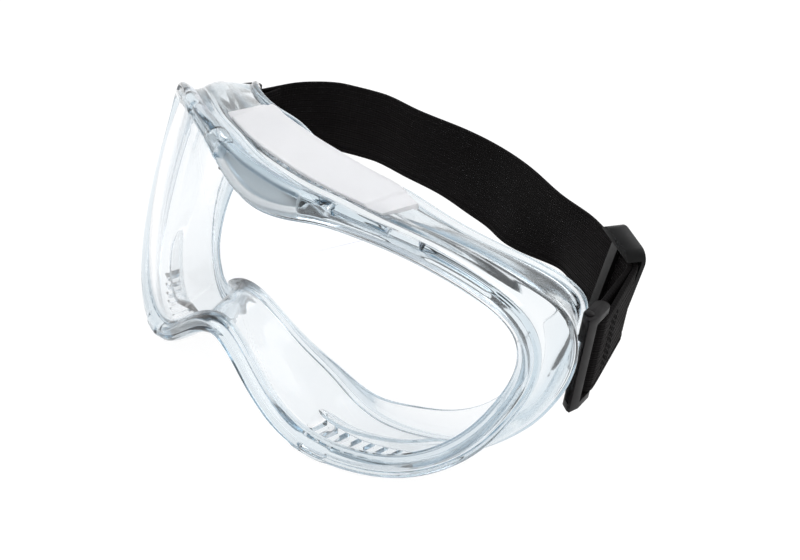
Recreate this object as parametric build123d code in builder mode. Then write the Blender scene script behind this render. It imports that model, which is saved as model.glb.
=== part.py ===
"""Safety goggles with a wrap-round toric lens, a soft clear frame and a black elastic strap.

The row frame has +Z up and the wearer facing -Y. Its origin lies under the middle of the
goggles, on the plane that they stand on. Sketches use the lens datum: the front apex of the
lens in Y, and the lens's own zero line in Z, so every outline below is read from there.
"""
from build123d import *
import os
from math import acos, asin, atan2, cos, degrees, radians, sin, sqrt, tan

os.makedirs("parts", exist_ok=True)

# Driving dimensions, millimetres
LENS_FRONT = -53.4        # Y of the lens's front apex
DATUM_HEIGHT = 29.102      # height of the lens datum above the resting plane
LENS_R = 102.2            # plan radius of the lens's outer face
LENS_RV = 170.0           # vertical radius of the lens's outer face
LENS_WAIST = -14.6        # height of the lens's widest plan circle, from the datum
LENS_THICK = 2.2
LENS_LIP = 2.5            # how far the lens runs into its groove
FRAME_WALL = 2.2
STRAP_WIDTH = 25.0
STRAP_THICK = 1.4
RUN_CLEAR = 0.05          # radial running clearance of a pin in its bore
SIDES = (("left", 1), ("right", -1))

FRONT = Plane(origin=(0, LENS_FRONT, DATUM_HEIGHT), x_dir=(1, 0, 0), z_dir=(0, -1, 0))
PLAN = Plane(origin=(0, LENS_FRONT, DATUM_HEIGHT))
MIDDLE = Plane(origin=(0, LENS_FRONT, DATUM_HEIGHT), x_dir=(0, 1, 0), z_dir=(1, 0, 0))

# One row for each station round half of the frame, from the brow's middle to the nose's middle:
# x and z of the lens's visible edge, the rim's width, the shoulder's offset and depth,
# the face flange's offset and depth, and the width of its turned-in lip.
STATIONS = (
    (0.0, 34.7, 10.6, 7.6, 16.6, 5.4, 32.6, 9.0),
    (12.0, 36.4, 9.0, 5.8, 16.0, 3.6, 32.0, 9.0),
    (22.0, 38.9, 6.8, 3.6, 15.6, 1.4, 31.4, 9.0),
    (33.0, 39.8, 5.2, 1.6, 15.2, -1.2, 30.2, 9.0),
    (45.0, 39.0, 4.8, 1.2, 15.2, -3.0, 29.2, 9.0),
    (56.0, 36.3, 4.8, 1.6, 15.2, -2.4, 28.2, 9.0),
    (66.0, 31.6, 4.8, 2.0, 15.0, -1.2, 29.0, 9.0),
    (73.4, 25.4, 4.8, 2.3, 15.4, -2.2, 30.4, 9.0),
    (77.4, 17.4, 4.8, 2.4, 16.2, -5.0, 30.2, 9.2),
    (78.2, 9.0, 4.8, 3.4, 17.0, -5.4, 29.2, 9.4),
    (76.6, 0.6, 4.8, 4.0, 17.4, -2.6, 28.6, 9.8),
    (72.8, -9.0, 4.8, 3.8, 17.0, 0.8, 28.2, 10.4),
    (66.6, -16.8, 4.8, 3.8, 16.2, 3.2, 28.4, 11.0),
    (57.6, -22.2, 4.8, 3.8, 15.6, 4.4, 28.6, 11.6),
    (47.0, -24.2, 4.8, 4.0, 15.2, 4.6, 28.4, 11.6),
    (37.0, -23.9, 4.8, 4.2, 15.0, 4.4, 28.0, 10.4),
    (28.6, -21.2, 4.8, 3.0, 15.0, 3.4, 27.6, 9.0),
    (21.6, -16.6, 4.6, 1.6, 14.0, 1.2, 25.6, 7.4),
    (15.2, -11.0, 4.6, 0.6, 12.4, -0.6, 21.6, 6.2),
    (8.6, -5.6, 4.6, 0.0, 10.6, -2.2, 17.8, 5.0),
    (0.0, -2.5, 4.6, -0.6, 9.6, -3.6, 15.6, 4.6),
)

# Half of the strap's centre line in plan, from the back of the head, and its corner by the slider.
STRAP_BACK = ((0.0, 108.6), (17.0, 106.6), (33.0, 102.6), (47.5, 100.6))
STRAP_CORNER = (70.3, 93.05)
CORNER_R = {"left": 4.0, "right": 24.0}
# Y and height of the strap's centre line where it changes its slope, on each side of the head.
STRAP_DROP = {
    "left": ((60.0, 7.3), (73.8, 7.3), (96.0, 13.9), (115.0, 13.9)),
    "right": ((60.0, 7.3), (73.8, 7.3), (92.0, 10.7), (101.0, 13.9), (115.0, 13.9)),
}
SLIDER_SETBACK = 9.8                   # from the strap's corner to the slider's middle
SLIDER_TILT = 10.0                     # degrees that the slider leans along the strap
SLIDER_LEVEL = 13.9
PIN_AXIS = (77.9, 64.6)
BAR_AXIS = (76.6, 71.4)
BAR_R = 1.2
PLY_STEP = 2.0                         # from the bar's axis to the middle of each ply


def dish(x, z):
    """Depth of the lens's outer face behind its apex at front-view point x, z."""
    ring = LENS_R - (LENS_RV - sqrt(LENS_RV**2 - (z - LENS_WAIST) ** 2))
    return LENS_R - sqrt(ring**2 - x**2)


def sag(x):
    """Depth lost by the plan circle of the lens at half width x."""
    return LENS_R - sqrt(LENS_R**2 - x**2)


with BuildLine() as edge_line:
    edge_curve = Spline(*[row[:2] for row in STATIONS], tangents=((1, 0), (-1, 0)))


def station_plane(row):
    """Plane across the rim at a station: local x runs outwards, local y runs back along +Y."""
    x, z = row[:2]
    along = edge_curve.tangent_at((x, z))
    out = Vector(-along.Y, 0, along.X).normalized()
    origin = (x, LENS_FRONT + dish(x, z), DATUM_HEIGHT + z)
    return Plane(origin=origin, x_dir=out, z_dir=(-out.Z, 0, out.X))


def lens_slope(row, out):
    """Angle at which the lens falls back across its edge at a station."""
    x, z = row[:2]
    return atan2(dish(x + out.X, z + out.Z) - dish(x - out.X, z - out.Z), 2)


def grown_edge(row, grow):
    """Front-view point on the lens's outer face, a run outside its visible edge at a station."""
    out = station_plane(row).x_dir
    reach = grow * cos(lens_slope(row, out))
    return (row[0] + out.X * reach, row[1] + out.Z * reach)


# ---------------------------------------------------------------- lens
LENS_RISE = 70                         # half height of the sheet that the lens is cut from
LENS_TAB = (7.0, 2.0)                  # width and reach of a lens locking tab
TAB_STATIONS = (2, 4, 15)              # stations at which the lens is locked into the rim

def lens_arc(inset):
    """Vertical curve of a lens face, on the far side of the axis that it is turned about."""
    radius = LENS_RV - inset
    heights = [LENS_WAIST + LENS_RISE * step / 4 for step in range(-4, 5)]
    depth = 2 * LENS_R - LENS_RV
    return Spline(*[(depth + sqrt(radius**2 - (z - LENS_WAIST) ** 2), z) for z in heights])


with BuildPart() as lens:
    with BuildSketch(MIDDLE):
        with BuildLine():
            outer = lens_arc(0)
            inner = lens_arc(LENS_THICK)
            Line(outer @ 0, inner @ 0)
            Line(outer @ 1, inner @ 1)
        make_face()
    revolve(axis=Axis((0, LENS_FRONT + LENS_R, 0), (0, 0, 1)))
    with BuildSketch(FRONT) as lens_shape:
        with BuildLine():
            half = Spline(*[grown_edge(row, LENS_LIP) for row in STATIONS], tangents=((1, 0), (-1, 0)))
            mirror(half, about=Plane.YZ)
        make_face()
        for index in TAB_STATIONS:
            spot = station_plane(STATIONS[index])
            for side in (1, -1):
                x, z = STATIONS[index][:2]
                turn = degrees(atan2(spot.x_dir.Z, side * spot.x_dir.X))
                with Locations(Location((side * x, z, 0), (0, 0, turn))):
                    with Locations((LENS_LIP + LENS_TAB[1] / 2 - 1, 0)):
                        Rectangle(LENS_TAB[1] + 2, LENS_TAB[0])
    extrude(amount=-LENS_R, mode=Mode.INTERSECT)
lens.part.label = "lens"
export_step(lens.part, "parts/lens.step")


# ---------------------------------------------------------------- frame body
GROOVE_PLAY = 0.05                     # between the lens's faces and its groove
RIM_FALL = 3.6                         # from the lens's outer face to where the wall leaves the rim
WALL_START = 0.3                       # share of the wall that is thickened beside the groove
# Corners of the rim's section: run outwards from the lens's visible edge and height off the lens.
RIM_INNER = ((-0.6, GROOVE_PLAY), (0.4, 1.9), (1.6, 2.7))
REAR_LIP = ((0.4, -4.4), (-1.6, -3.6))
RIM_OUTER = ((-1.4, 2.7), (-0.2, 1.6))     # run from the rim's outer edge instead
TOP_SLOTS = (2.2, 7.0, 4.4, 11)        # width, length, pitch and count of the top vent slots
LOW_SLOTS = (1.6, 7.0, 3.6, 8)         # the same for each lower row
TOP_SLOT_DEPTH = 21.5                  # from the lens's apex to the top slots' middle
LOW_SLOT_DEPTH = 10.5
LOW_SLOT_START = 30.0                  # half width of the first lower slot


def on_lens(slope, along, proud):
    """Local point of a station's plane, from its run along the lens and its height off it."""
    return (along * cos(slope) + proud * sin(slope), along * sin(slope) - proud * cos(slope))


def wall_ends(row, slope):
    """Where the wall's outer face leaves the rim and meets the shoulder, and its inward normal."""
    front = Vector(*on_lens(slope, row[2], -RIM_FALL))
    rear = Vector(row[3], row[4])
    run = (rear - front).normalized()
    return front, rear, Vector(-run.Y, run.X)


def frame_section(row, slope):
    """Cross-section of rim, lens groove and wall at a station."""
    front, rear, inward = wall_ends(row, slope)
    inner_rear = rear + inward * FRAME_WALL
    inner_front = front + inward * FRAME_WALL + (rear - front) * WALL_START
    Polyline(
        *[on_lens(slope, *point) for point in RIM_INNER],
        *[on_lens(slope, row[2] + along, proud) for along, proud in RIM_OUTER],
        front,
        rear,
        inner_rear,
        inner_front,
        *[on_lens(slope, *point) for point in REAR_LIP],
        on_lens(slope, REAR_LIP[-1][0], -LENS_THICK - GROOVE_PLAY),
        on_lens(slope, LENS_LIP + 2 * GROOVE_PLAY, -LENS_THICK - GROOVE_PLAY),
        on_lens(slope, LENS_LIP + 2 * GROOVE_PLAY, GROOVE_PLAY),
        close=True,
    )


with BuildPart() as frame_body:
    for row in STATIONS:
        plane = station_plane(row)
        with BuildSketch(plane):
            with BuildLine():
                frame_section(row, lens_slope(row, plane.x_dir))
            make_face()
    loft()
    with BuildSketch(PLAN.offset(-40)):
        for index in range(LOW_SLOTS[3]):
            x = LOW_SLOT_START + index * LOW_SLOTS[2]
            with Locations((x, LOW_SLOT_DEPTH + sag(x))):
                SlotOverall(LOW_SLOTS[1], LOW_SLOTS[0], rotation=90)
    extrude(amount=25, mode=Mode.SUBTRACT)
    mirror(about=Plane.YZ)
    with BuildSketch(PLAN.offset(30)):
        for index in range(TOP_SLOTS[3]):
            x = (index - (TOP_SLOTS[3] - 1) / 2) * TOP_SLOTS[2]
            with Locations((x, TOP_SLOT_DEPTH + sag(x))):
                SlotOverall(TOP_SLOTS[1], TOP_SLOTS[0], rotation=90)
    extrude(amount=25, mode=Mode.SUBTRACT)
    add(lens.part, mode=Mode.SUBTRACT)
frame_body.part.label = "frame_body"
export_step(frame_body.part, "parts/frame_body.step")


# ---------------------------------------------------------------- face flange
# Corners of the flange's section: offset and depth from its outer edge.
FLANGE_BEAD = ((0.0, -1.2), (0.2, 0.4), (-0.8, 0.9))
FLANGE_BEND = (-2.8, -1.8)
FLANGE_LIP = (-2.0, -3.4)              # depths of the lip's rear and front faces
LUG = (1.4, 4.0, 14.0)                 # side lug's radius, and its lower and upper ends
LUG_ROOT = 74.8                        # half width at which the lug grows out of the wall
PIN_R = 0.8

with BuildPart() as face_flange:
    for row in STATIONS:
        flange_out, flange_depth, lip = row[5:]
        plane = station_plane(row)
        rear, inward = wall_ends(row, lens_slope(row, plane.x_dir))[1:]
        with BuildSketch(plane):
            with BuildLine():
                Polyline(
                    rear,
                    *[(flange_out + out, flange_depth + depth) for out, depth in FLANGE_BEAD],
                    *[(flange_out - lip, flange_depth + depth) for depth in FLANGE_LIP],
                    (flange_out + FLANGE_BEND[0], flange_depth + FLANGE_BEND[1]),
                    rear + inward * FRAME_WALL,
                    close=True,
                )
            make_face()
    loft()
    with BuildSketch(PLAN.offset(LUG[1])):
        with Locations(PIN_AXIS):
            Circle(LUG[0])
        with Locations(((LUG_ROOT + PIN_AXIS[0]) / 2, PIN_AXIS[1])):
            Rectangle(PIN_AXIS[0] - LUG_ROOT, 2 * LUG[0])
    extrude(amount=LUG[2] - LUG[1])
    with BuildSketch(PLAN.offset(LUG[1])):
        with Locations(PIN_AXIS):
            Circle(PIN_R + RUN_CLEAR)
    extrude(amount=LUG[2] - LUG[1], mode=Mode.SUBTRACT)
    mirror(about=Plane.YZ)
face_flange.part.label = "face_flange"
export_step(face_flange.part, "parts/face_flange.step")


# ---------------------------------------------------------------- top vent cover
# One row for each cross-section from the middle to the end: half width, y and z of the front
# foot, y and z of the rear top edge.
COVER_ROWS = (
    (0.0, 17.4, 45.0, 29.6, 49.2),
    (10.0, 17.9, 44.9, 30.6, 48.7),
    (20.0, 19.6, 44.6, 33.4, 47.2),
    (28.8, 22.2, 44.2, 37.2, 44.9),
    (33.0, 24.2, 43.7, 38.0, 43.2),
    (37.0, 27.4, 42.7, 38.2, 41.4),
)
COVER_THICK = 1.4
COVER_LIP = ((0.3, 2.0), (-1.1, 2.0), (-1.3, COVER_THICK))     # its corners, from the rear top edge

with BuildPart() as top_vent_cover:
    for half, foot_y, foot_z, top_y, top_z in COVER_ROWS:
        section = Plane(origin=FRONT.origin + Vector(half, 0, 0), x_dir=(0, 1, 0), z_dir=(1, 0, 0))
        with BuildSketch(section):
            with BuildLine():
                Polyline(
                    (foot_y, foot_z),
                    (top_y, top_z),
                    *[(top_y + out, top_z - fall) for out, fall in COVER_LIP],
                    (foot_y + COVER_THICK / 2, foot_z - COVER_THICK),
                    close=True,
                )
            make_face()
    loft()
    mirror(about=Plane.YZ)
top_vent_cover.part.label = "top_vent_cover"
export_step(top_vent_cover.part, "parts/top_vent_cover.step")


# ---------------------------------------------------------------- lower vent baffles
BAFFLE_STATIONS = STATIONS[12:17]
BAFFLE_ROOT = 0.1                      # how deep the baffle's foot sits in the wall
# Corners of the baffle's section: offset from its foot, and depth.
BAFFLE_SECTION = ((0.0, 13.0), (-3.6, 11.6), (-5.2, 7.4), (-6.1, 7.8), (-4.4, 12.4), (-0.2, 14.0))

with BuildPart() as baffle:
    for row in BAFFLE_STATIONS:
        foot = row[3] - FRAME_WALL - BAFFLE_ROOT
        with BuildSketch(station_plane(row)):
            with BuildLine():
                Polyline(*[(foot + out, depth) for out, depth in BAFFLE_SECTION], close=True)
            make_face()
    loft()
for side, sign in SIDES:
    with BuildPart() as lower_vent_baffle:
        add(baffle.part if sign > 0 else baffle.part.mirror(Plane.YZ))
    lower_vent_baffle.part.label = "lower_vent_baffle_" + side
    export_step(lower_vent_baffle.part, f"parts/lower_vent_baffle_{side}.step")


# ---------------------------------------------------------------- strap clips and their pins
CLIP_GAP = (-5.8, 20.4)                # the strap's window between the clip's arms
CLIP_ARM = 2.2
CLIP_PLATE = (79.6, 80.6, 61.8, 65.6)  # outer plate: x from and to, y from and to
BARREL_R = 1.7
BAR_BOSS_R = 2.2
LUG_PLAY = 0.25
PIN_HEAD = (1.4, 0.6)                  # radius and height of the pin's head
WEB = (1.6, 2.4)                       # width and length of the web from the barrel to the plate

plate_mid = ((CLIP_PLATE[0] + CLIP_PLATE[1]) / 2, (CLIP_PLATE[2] + CLIP_PLATE[3]) / 2)
plate_size = (CLIP_PLATE[1] - CLIP_PLATE[0], CLIP_PLATE[3] - CLIP_PLATE[2])

with BuildPart() as clip:
    for arm_foot in (CLIP_GAP[0] - CLIP_ARM, CLIP_GAP[1]):
        with BuildSketch(PLAN.offset(arm_foot)):
            with Locations(PIN_AXIS):
                Circle(BARREL_R)
            with Locations(plate_mid):
                Rectangle(*plate_size)
            with Locations(BAR_AXIS):
                Circle(BAR_BOSS_R)
            make_hull()
        extrude(amount=CLIP_ARM)
    with BuildSketch(PLAN.offset(CLIP_GAP[0])):
        with Locations(plate_mid):
            Rectangle(*plate_size)
        with Locations(BAR_AXIS):
            Circle(BAR_R)
    extrude(amount=CLIP_GAP[1] - CLIP_GAP[0])
    with BuildSketch(PLAN.offset(CLIP_GAP[0])):
        with Locations(PIN_AXIS):
            Circle(BARREL_R)
        with Locations((plate_mid[0] - WEB[0] / 2, PIN_AXIS[1] - WEB[1] / 4)):
            Rectangle(*WEB)
    extrude(amount=CLIP_GAP[1] - CLIP_GAP[0])
    with BuildSketch(PLAN.offset(LUG[1] - LUG_PLAY)):
        with Locations((PIN_AXIS[0] - 1.0, PIN_AXIS[1])):
            Rectangle(2 * (CLIP_PLATE[0] - PIN_AXIS[0]) + 2, 4 * BARREL_R)
    extrude(amount=LUG[2] - LUG[1] + 2 * LUG_PLAY, mode=Mode.SUBTRACT)
    with BuildSketch(PLAN.offset(LUG[1] - LUG_PLAY)):
        with Locations(BAR_AXIS):
            Circle(BAR_R)
    extrude(amount=LUG[2] - LUG[1] + 2 * LUG_PLAY)
    with BuildSketch(PLAN.offset(CLIP_GAP[0] - CLIP_ARM)):
        with Locations(PIN_AXIS):
            Circle(PIN_R)
    extrude(amount=CLIP_GAP[1] - CLIP_GAP[0] + 2 * CLIP_ARM, mode=Mode.SUBTRACT)

with BuildPart() as clip_pin:
    with BuildSketch(PLAN.offset(CLIP_GAP[0] - CLIP_ARM)):
        with Locations(PIN_AXIS):
            Circle(PIN_R)
    extrude(amount=CLIP_GAP[1] - CLIP_GAP[0] + 2 * CLIP_ARM)
    with BuildSketch(PLAN.offset(CLIP_GAP[1] + CLIP_ARM)):
        with Locations(PIN_AXIS):
            Circle(PIN_HEAD[0])
    extrude(amount=PIN_HEAD[1])
    fillet(clip_pin.edges().group_by(Axis.Z)[-1], PIN_HEAD[1] / 2)

for side, sign in SIDES:
    for piece, name in ((clip, "clip_"), (clip_pin, "clip_pin_")):
        with BuildPart() as placed:
            add(piece.part if sign > 0 else piece.part.mirror(Plane.YZ))
        placed.part.label = name + side
        export_step(placed.part, f"parts/{name}{side}.step")


# ---------------------------------------------------------------- strap and its turned-back tails
PLY_STEP_SLIDER = 1.5                  # between the two plies' middles beside the slider
SHORT_TAIL = 9.0                       # length of the sewn-back end on the side without a slider
STITCH = (0.5, 18.0, 0.3)              # width, length and height of one bar of stitching
STITCH_STEPS = (4.5, 6.5, 8.5)          # from the bar's end of the band back along it

corner = Vector(*STRAP_CORNER)
straight_dir = (corner - Vector(*STRAP_BACK[-1])).normalized()
straight_out = Vector(-straight_dir.Y, straight_dir.X)
slider_spot = corner - straight_dir * SLIDER_SETBACK


def run_to_bar(start, side):
    """Unit run from a point to one side of the circle that the ply makes round the clip's bar."""
    reach = Vector(*BAR_AXIS) - start
    return reach.rotate(Axis.Z, side * degrees(asin(PLY_STEP / reach.length))).normalized()


def beside_bar(run, side):
    """Point where a ply with that run meets its circle round the clip's bar."""
    return Vector(*BAR_AXIS) + Vector(-run.Y, run.X) * PLY_STEP * side


side_dir = run_to_bar(corner, 1)
side_out = Vector(-side_dir.Y, side_dir.X)
band_end = beside_bar(side_dir, 1)
half_turn = acos(straight_dir.dot(side_dir)) / 2
inner_corner = corner - (straight_out + straight_dir * tan(half_turn)) * PLY_STEP_SLIDER
tail_start = {
    "left": inner_corner,
    "right": band_end - side_dir * SHORT_TAIL - side_out * PLY_STEP_SLIDER,
}
tail_end = {side: beside_bar(run_to_bar(start, -1), -1) for side, start in tail_start.items()}

with BuildPart() as strap_slope:
    for side, sign in SIDES:
        drop = STRAP_DROP[side]
        with BuildSketch(MIDDLE):
            with BuildLine():
                Polyline(
                    *[(y, z - STRAP_WIDTH / 2) for y, z in drop],
                    *[(y, z + STRAP_WIDTH / 2) for y, z in reversed(drop)],
                    close=True,
                )
            make_face()
        extrude(amount=sign * 2 * LENS_R)

with BuildPart() as strap_band:
    with BuildSketch(PLAN.offset(-STRAP_WIDTH)):
        with BuildLine():
            back = Spline(*STRAP_BACK, tangents=((1, 0), straight_dir))
            fold = ThreePointArc(band_end, Vector(*BAR_AXIS) - Vector(0, PLY_STEP), tail_end["left"])
            mirror((back, fold), about=Plane.YZ)
            for side, sign in SIDES:
                spots = [Vector(sign * spot.X, spot.Y) for spot in (back @ 1, corner, band_end)]
                FilletPolyline(*spots, radius=CORNER_R[side])
        trace(line_width=STRAP_THICK)
    extrude(amount=3 * STRAP_WIDTH)
    add(strap_slope.part, mode=Mode.INTERSECT)
strap_band.part.label = "strap_band"
export_step(strap_band.part, "parts/strap_band.step")

for side, sign in SIDES:
    with BuildPart() as tail:
        with BuildSketch(PLAN.offset(-STRAP_WIDTH)):
            with BuildLine():
                if side == "left":
                    slider_end = slider_spot - straight_out * PLY_STEP_SLIDER
                    inner_r = CORNER_R[side] - PLY_STEP_SLIDER
                    FilletPolyline(slider_end, inner_corner, tail_end[side], radius=inner_r)
                else:
                    path = Line(tail_start[side], tail_end[side])
                    mirror(path, about=Plane.YZ, mode=Mode.REPLACE)
            trace(line_width=STRAP_THICK)
        extrude(amount=3 * STRAP_WIDTH)
        add(strap_slope.part, mode=Mode.INTERSECT)
    tail.part.label = "strap_tail_" + side
    export_step(tail.part, f"parts/strap_tail_{side}.step")

    with BuildPart() as stitching:
        for step in STITCH_STEPS:
            proud = (STRAP_THICK + STITCH[2]) / 2
            spot = band_end - side_dir * step + side_out * proud
            (low_y, low_z), (high_y, high_z) = STRAP_DROP[side][1:3]
            level = low_z + (spot.Y - low_y) / (high_y - low_y) * (high_z - low_z)
            turn = sign * degrees(atan2(side_dir.Y, side_dir.X))
            with BuildSketch(PLAN.offset(level - STITCH[1] / 2)):
                with Locations(Location((sign * spot.X, spot.Y, 0), (0, 0, turn))):
                    Rectangle(STITCH[0], STITCH[2])
            extrude(amount=STITCH[1])
    stitching.part.label = "tail_stitching_" + side
    export_step(stitching.part, f"parts/tail_stitching_{side}.step")


# ---------------------------------------------------------------- strap slider
RAIL_INSIDE = 14.3                     # half length of the slider's window
BAR_FACE = (1.7, 3.1)                  # the bars' inner and outer faces, from the plies' middle
SLIDER_OUTER = (16.5, 33.2, 4.0)       # length, height and corner radius
SLIDER_INNER = 11.7
SLIDER_MID_BAR = 3.2

slider_run = straight_dir * cos(radians(SLIDER_TILT)) - Vector(0, 0, sin(radians(SLIDER_TILT)))
slider_origin = PLAN.from_local_coords(
    slider_spot - straight_out * PLY_STEP_SLIDER / 2 + Vector(0, 0, SLIDER_LEVEL)
)
slider_plane = Plane(origin=slider_origin, x_dir=slider_run, z_dir=-straight_out)

with BuildPart() as slider:
    with BuildSketch(slider_plane.offset(-BAR_FACE[1])):
        RectangleRounded(*SLIDER_OUTER)
        Rectangle(SLIDER_INNER, 2 * RAIL_INSIDE, mode=Mode.SUBTRACT)
    extrude(amount=2 * BAR_FACE[1])
    with BuildSketch(slider_plane.offset(-BAR_FACE[0])):
        Rectangle(2 * SLIDER_OUTER[0], 2 * RAIL_INSIDE)
    extrude(amount=BAR_FACE[0] + BAR_FACE[1], mode=Mode.SUBTRACT)
    with BuildSketch(slider_plane.offset(BAR_FACE[0])):
        Rectangle(SLIDER_MID_BAR, 2 * RAIL_INSIDE)
    extrude(amount=BAR_FACE[1] - BAR_FACE[0])

slider.part.label = "slider"
export_step(slider.part, "parts/slider.step")
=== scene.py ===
"""Safety goggles: the looks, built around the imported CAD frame.

Lengths in the tables are millimetres in the goggles' own frame: x to the wearer's left, y back
from the lens's front apex, z up from the lens datum. place() turns them into row metres.
"""

import math

import bmesh
import bpy
import numpy as np
from mathutils import Matrix, Vector


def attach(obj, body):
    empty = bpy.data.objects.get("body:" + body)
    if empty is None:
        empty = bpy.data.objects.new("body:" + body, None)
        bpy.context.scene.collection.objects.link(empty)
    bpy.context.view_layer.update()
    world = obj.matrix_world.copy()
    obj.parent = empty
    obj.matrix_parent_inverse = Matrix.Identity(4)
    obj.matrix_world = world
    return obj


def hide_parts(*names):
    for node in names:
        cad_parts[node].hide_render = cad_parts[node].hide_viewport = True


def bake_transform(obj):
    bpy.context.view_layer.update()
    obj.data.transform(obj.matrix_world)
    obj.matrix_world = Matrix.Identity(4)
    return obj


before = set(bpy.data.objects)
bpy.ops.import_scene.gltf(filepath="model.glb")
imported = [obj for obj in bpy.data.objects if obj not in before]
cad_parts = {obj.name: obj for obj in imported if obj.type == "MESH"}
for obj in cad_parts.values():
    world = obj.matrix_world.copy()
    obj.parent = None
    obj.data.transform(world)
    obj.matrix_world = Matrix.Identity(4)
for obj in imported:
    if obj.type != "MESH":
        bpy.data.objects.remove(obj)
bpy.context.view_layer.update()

# ------------ dimensions
LENS_FRONT = -53.4
DATUM_HEIGHT = 29.102
LENS_R = 102.2
LENS_RV = 170.0
LENS_WAIST = -14.6
LENS_THICK = 2.2
LENS_LIP = 2.5
WALL = 2.2
STRAP_WIDTH = 25.0
STRAP_THICK = 1.4

# x and z of the lens's visible edge, the rim's width, the shoulder's offset and depth,
# the face flange's offset and depth, and the width of its turned-in lip
STATIONS = np.array((
    (0.0, 34.7, 10.6, 7.6, 16.6, 5.4, 32.6, 9.0),
    (12.0, 36.4, 9.0, 5.8, 16.0, 3.6, 32.0, 9.0),
    (22.0, 38.9, 6.8, 3.6, 15.6, 1.4, 31.4, 9.0),
    (33.0, 39.8, 5.2, 1.6, 15.2, -1.2, 30.2, 9.0),
    (45.0, 39.0, 4.8, 1.2, 15.2, -3.0, 29.2, 9.0),
    (56.0, 36.3, 4.8, 1.6, 15.2, -2.4, 28.2, 9.0),
    (66.0, 31.6, 4.8, 2.0, 15.0, -1.2, 29.0, 9.0),
    (73.4, 25.4, 4.8, 2.3, 15.4, -2.2, 30.4, 9.0),
    (77.4, 17.4, 4.8, 2.4, 16.2, -5.0, 30.2, 9.2),
    (78.2, 9.0, 4.8, 3.4, 17.0, -5.4, 29.2, 9.4),
    (76.6, 0.6, 4.8, 4.0, 17.4, -2.6, 28.6, 9.8),
    (72.8, -9.0, 4.8, 3.8, 17.0, 0.8, 28.2, 10.4),
    (66.6, -16.8, 4.8, 3.8, 16.2, 3.2, 28.4, 11.0),
    (57.6, -22.2, 4.8, 3.8, 15.6, 4.4, 28.6, 11.6),
    (47.0, -24.2, 4.8, 4.0, 15.2, 4.6, 28.4, 11.6),
    (37.0, -23.9, 4.8, 4.2, 15.0, 4.4, 28.0, 10.4),
    (28.6, -21.2, 4.8, 3.0, 15.0, 3.4, 27.6, 9.0),
    (21.6, -16.6, 4.6, 1.6, 14.0, 1.2, 25.6, 7.4),
    (15.2, -11.0, 4.6, 0.6, 12.4, -0.6, 21.6, 6.2),
    (8.6, -5.6, 4.6, 0.0, 10.6, -2.2, 17.8, 5.0),
    (0.0, -2.5, 4.6, -0.6, 9.6, -3.6, 15.6, 4.6),
))
TAB_STATIONS = (2, 4, 15)
TAB_WIDTH = 7.0
TAB_REACH = 1.7

STRAP_BACK = ((0.0, 108.6), (17.0, 106.6), (33.0, 102.6), (47.5, 100.6))
STRAP_CORNER = (70.3, 93.05)
CORNER_R = {1: 4.0, -1: 24.0}
CLIP_LEVEL = 7.3
SLIDER_LEVEL = 13.9
# y and height of the strap's centre line where it changes its slope, on each side of the head
STRAP_DROP = {
    1: ((73.8, 96.0), (CLIP_LEVEL, SLIDER_LEVEL)),
    -1: ((73.8, 92.0, 101.0), (CLIP_LEVEL, 10.7, SLIDER_LEVEL)),
}
SLIDER_SETBACK = 9.8
SLIDER_TILT = 10.0
PIN_AXIS = (77.9, 64.6)
BAR_AXIS = (76.6, 71.4)
BAR_R = 1.2
PLY_STEP = 2.0
PLY_STEP_SLIDER = 1.5
SHORT_TAIL = 9.0
PIN_R = 0.8


# ------------ curves
def cubic(knots, values, at, slopes=None):
    """Cubic spline through values at knots, read at `at`; periodic unless end slopes are given."""
    knots, values, at = (np.asarray(a, float) for a in (knots, values, at))
    values = values.reshape(len(values), -1)
    step = np.diff(knots)
    if slopes is None:
        values = np.vstack([values, values[:1]])
    rise = np.diff(values, axis=0) / step[:, None]
    size = len(step) if slopes is None else len(knots)
    system, right = np.zeros((size, size)), np.zeros((size, values.shape[1]))
    if slopes is None:
        for i in range(size):
            system[i, (i - 1) % size] += step[i - 1]
            system[i, i] += 2 * (step[i - 1] + step[i])
            system[i, (i + 1) % size] += step[i]
            right[i] = 6 * (rise[i] - rise[i - 1])
        bend = np.linalg.solve(system, right)
        bend = np.vstack([bend, bend[:1]])
    else:
        for i in range(1, size - 1):
            system[i, i - 1 : i + 2] = step[i - 1], 2 * (step[i - 1] + step[i]), step[i]
            right[i] = 6 * (rise[i] - rise[i - 1])
        system[0, :2] = 2 * step[0], step[0]
        right[0] = 6 * (rise[0] - np.asarray(slopes[0], float))
        system[-1, -2:] = step[-1], 2 * step[-1]
        right[-1] = 6 * (np.asarray(slopes[1], float) - rise[-1])
        bend = np.linalg.solve(system, right)
    span = np.clip(np.searchsorted(knots, at, side="right") - 1, 0, len(step) - 1)
    h = step[span][:, None]
    b = ((at - knots[span])[:, None]) / h
    a = 1 - b
    return (
        a * values[span]
        + b * values[span + 1]
        + ((a**3 - a) * bend[span] + (b**3 - b) * bend[span + 1]) * h**2 / 6
    )


def chord(points):
    """Running length along a row of points."""
    return np.concatenate([[0.0], np.cumsum(np.linalg.norm(np.diff(points, axis=0), axis=1))])


def clamped(points, start, end, count):
    """Points of a smooth curve through `points`, with unit end directions."""
    points = np.asarray(points, float)
    knots = chord(points)
    return cubic(knots, points, np.linspace(0, knots[-1], count), (start, end))


def step_up(value, edge, width):
    """0 below the edge, 1 above it, with a smooth rise of that width."""
    t = np.clip((value - edge) / width + 0.5, 0, 1)
    return t * t * (3 - 2 * t)


def between(value, low, high, width=0.8):
    """1 between two edges and 0 outside, with smooth sides."""
    return step_up(value, low, width) * (1 - step_up(value, high, width))


# ------------ meshes
def place(points):
    """Goggle millimetres to row metres."""
    return (np.asarray(points, float) + (0.0, LENS_FRONT, DATUM_HEIGHT)) * 0.001


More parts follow.
